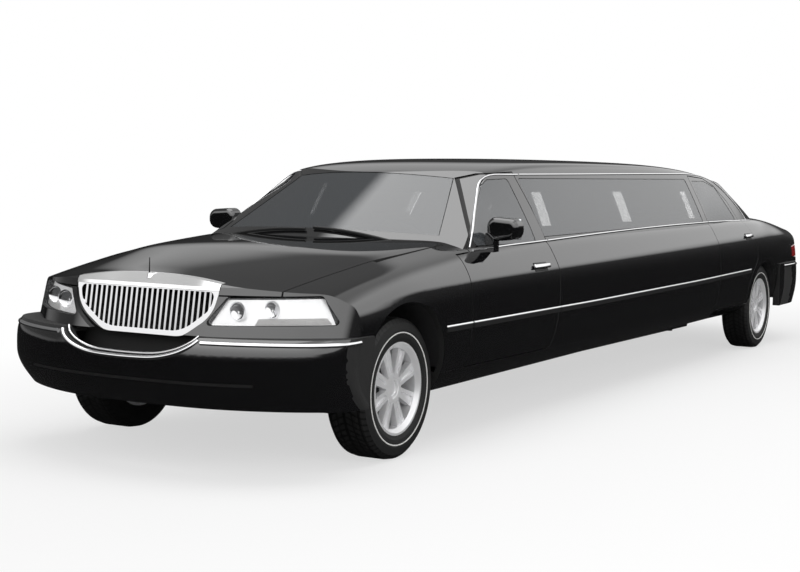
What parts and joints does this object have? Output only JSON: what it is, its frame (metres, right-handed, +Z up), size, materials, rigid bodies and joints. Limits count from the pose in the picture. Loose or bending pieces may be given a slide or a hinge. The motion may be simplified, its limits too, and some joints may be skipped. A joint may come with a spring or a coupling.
{
  "type": "stretch limousine",
  "caption": "Long four-door luxury saloon with an extended middle body, hinged doors, hood and trunk lid, steered front wheels and a hollow cabin.",
  "frame": {"origin": "on the floor, under the middle of the car's length and width", "axes": "+X forward, +Y to the left, +Z up"},
  "size_m": [8.519, 2.084, 1.5168],
  "materials": {
    "body_black": "deep gloss black paint",
    "tinted_glass": "dark tinted glass",
    "tyre": "black rubber with a thin white ring",
    "polished_wheel": "polished alloy",
    "lamp_clear": "clear lamp lens",
    "lamp_red": "red lamp lens",
    "chrome": "bright chrome",
    "seat_leather": "black leather",
    "cabin_trim": "dark grained trim",
    "chassis_black": "satin black underbody paint",
    "cast_metal": "bare cast metal",
    "floor_black": "dark floor pan"
  },
  "bodies": {
    "root": {"front_fenders": "body_black", "headlamps": "lamp_clear", "grille": "chrome", "hood_ornament": "chrome", "front_bumper": "body_black", "cowl": "body_black", "sills": "body_black", "side_panels": "body_black", "quarter_panels": "body_black", "rear_deck": "body_black", "tail_lamps": "lamp_red", "rear_bumper": "body_black", "windshield": "tinted_glass", "rear_window": "tinted_glass", "roof": "body_black", "side_windows": "tinted_glass", "front_suspension": "chassis_black", "rear_axle": "chassis_black", "chassis_frame": "chassis_black", "engine_block": "cast_metal", "floor_pan": "floor_black", "driveshaft": "cast_metal", "exhaust": "cast_metal", "fuel_tank": "chassis_black", "radiator": "chassis_black", "wheel_houses": "chassis_black", "front_seats": "seat_leather", "lounge_seats": "seat_leather", "dashboard": "cabin_trim", "steering_wheel": "cabin_trim", "partition": "cabin_trim"},
    "hood": {"hood": "body_black"},
    "trunk_lid": {"trunk_lid": "body_black"},
    "knuckle_left": {"knuckle_left": "cast_metal"},
    "knuckle_right": {"knuckle_right": "cast_metal"},
    "front_door_left": {"front_door_left": "body_black", "front_glass_left": "tinted_glass", "mirror_left": "body_black"},
    "front_door_right": {"front_door_right": "body_black", "front_glass_right": "tinted_glass", "mirror_right": "body_black"},
    "rear_door_left": {"rear_door_left": "body_black", "rear_glass_left": "tinted_glass"},
    "rear_door_right": {"rear_door_right": "body_black", "rear_glass_right": "tinted_glass"},
    "front_left_wheel": {"front_left_tyre": "tyre", "front_left_rim": "polished_wheel"},
    "front_right_wheel": {"front_right_tyre": "tyre", "front_right_rim": "polished_wheel"},
    "rear_left_wheel": {"rear_left_tyre": "tyre", "rear_left_rim": "polished_wheel"},
    "rear_right_wheel": {"rear_right_tyre": "tyre", "rear_right_rim": "polished_wheel"}
  },
  "joints": [
    {"name": "hood_hinge", "type": "hinge", "parent": "root", "child": "hood", "pos_m": [2.565, 0, 1.045], "axis": [0, -1, 0], "range_deg": [0, 55]},
    {"name": "trunk_hinge", "type": "hinge", "parent": "root", "child": "trunk_lid", "pos_m": [-3.2085, 0, 1.09], "axis": [0, 1, 0], "range_deg": [0, 75]},
    {"name": "front_door_left_hinge", "type": "hinge", "parent": "root", "child": "front_door_left", "pos_m": [2.6095, 0.992, 0.7], "axis": [0, 0, -1], "range_deg": [0, 65]},
    {"name": "rear_door_left_hinge", "type": "hinge", "parent": "root", "child": "rear_door_left", "pos_m": [-1.5505, 0.992, 0.7], "axis": [0, 0, -1], "range_deg": [0, 65]},
    {"name": "steering_left", "type": "hinge", "parent": "root", "child": "knuckle_left", "pos_m": [3.2495, 0.743, 0.351], "axis": [0, 0, 1], "range_deg": [-35, 35]},
    {"name": "front_left_wheel_spin", "type": "hinge", "parent": "knuckle_left", "child": "front_left_wheel", "pos_m": [3.2495, 0.805, 0.351], "axis": [0, 1, 0], "continuous": true},
    {"name": "rear_left_wheel_spin", "type": "hinge", "parent": "root", "child": "rear_left_wheel", "pos_m": [-2.7885, 0.82, 0.351], "axis": [0, 1, 0], "continuous": true},
    {"name": "front_door_right_hinge", "type": "hinge", "parent": "root", "child": "front_door_right", "pos_m": [2.6095, -0.992, 0.7], "axis": [0, 0, 1], "range_deg": [0, 65]},
    {"name": "rear_door_right_hinge", "type": "hinge", "parent": "root", "child": "rear_door_right", "pos_m": [-1.5505, -0.992, 0.7], "axis": [0, 0, 1], "range_deg": [0, 65]},
    {"name": "steering_right", "type": "hinge", "parent": "root", "child": "knuckle_right", "pos_m": [3.2495, -0.743, 0.351], "axis": [0, 0, 1], "range_deg": [-35, 35]},
    {"name": "front_right_wheel_spin", "type": "hinge", "parent": "knuckle_right", "child": "front_right_wheel", "pos_m": [3.2495, -0.805, 0.351], "axis": [0, 1, 0], "continuous": true},
    {"name": "rear_right_wheel_spin", "type": "hinge", "parent": "root", "child": "rear_right_wheel", "pos_m": [-2.7885, -0.82, 0.351], "axis": [0, 1, 0], "continuous": true}
  ],
  "couplings": [
    {"joint": "steering_right", "follows": "steering_left", "ratio": 1}
  ]
}
